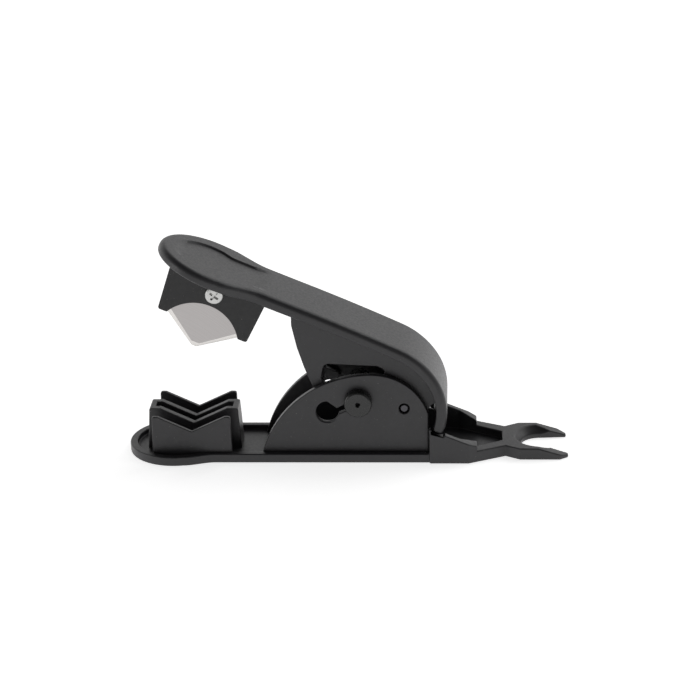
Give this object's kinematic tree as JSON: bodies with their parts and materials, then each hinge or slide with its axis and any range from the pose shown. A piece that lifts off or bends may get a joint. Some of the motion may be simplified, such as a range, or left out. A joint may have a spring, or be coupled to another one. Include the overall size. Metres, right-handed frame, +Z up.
{
  "type": "spring-opened tube and wick cutter",
  "caption": "Hand cutter for flexible tube, hose and wick: a sprung lever with a vee-ground blade closes into a vee anvil; slide lock and forked tail.",
  "frame": {"origin": "middle of the bounding box in plan, at the flat underside of the base", "axes": "+X from the anvil nose to the forked tail, +Y across the tool, away from the side with the blade screw's head, +Z up from the base to the lever"},
  "size_m": [0.1234, 0.0284, 0.0618],
  "materials": {
    "black_nylon": "fine satin moulded, glass-filled nylon",
    "holder_nylon": "matte moulded nylon, darker than the handles",
    "knob_plastic": "semi-gloss moulded plastic",
    "blade_steel": "fine ground steel with a bright bevel",
    "zinc_plate": "bright zinc plating",
    "pin_steel": "blackened steel",
    "spring_steel": "drawn spring wire"
  },
  "bodies": {
    "base": {"base_handle": "black_nylon", "pivot_pin": "pin_steel", "spring_bush": "knob_plastic", "torsion_spring": "spring_steel"},
    "lever": {"lever_handle": "black_nylon", "blade_holder": "holder_nylon", "blade_clamp": "holder_nylon", "blade": "blade_steel", "blade_screw": "zinc_plate", "blade_nut": "zinc_plate"},
    "lock": {"lock_pin": "pin_steel", "lock_knob_front": "knob_plastic", "lock_knob_rear": "knob_plastic"}
  },
  "joints": [
    {"name": "lever_hinge", "type": "hinge", "parent": "base", "child": "lever", "pos_m": [0.0163, 0, 0.0154], "axis": [0, -1, 0], "range_deg": [0, 23], "stiffness_Nm_per_rad": 0.15, "springref_deg": -34.38, "deforming": ["torsion_spring"]},
    {"name": "lock_slide", "type": "slide", "parent": "base", "child": "lock", "axis": [-0.9372, 0, -0.3487], "range_m": [0, 0.00917]}
  ]
}
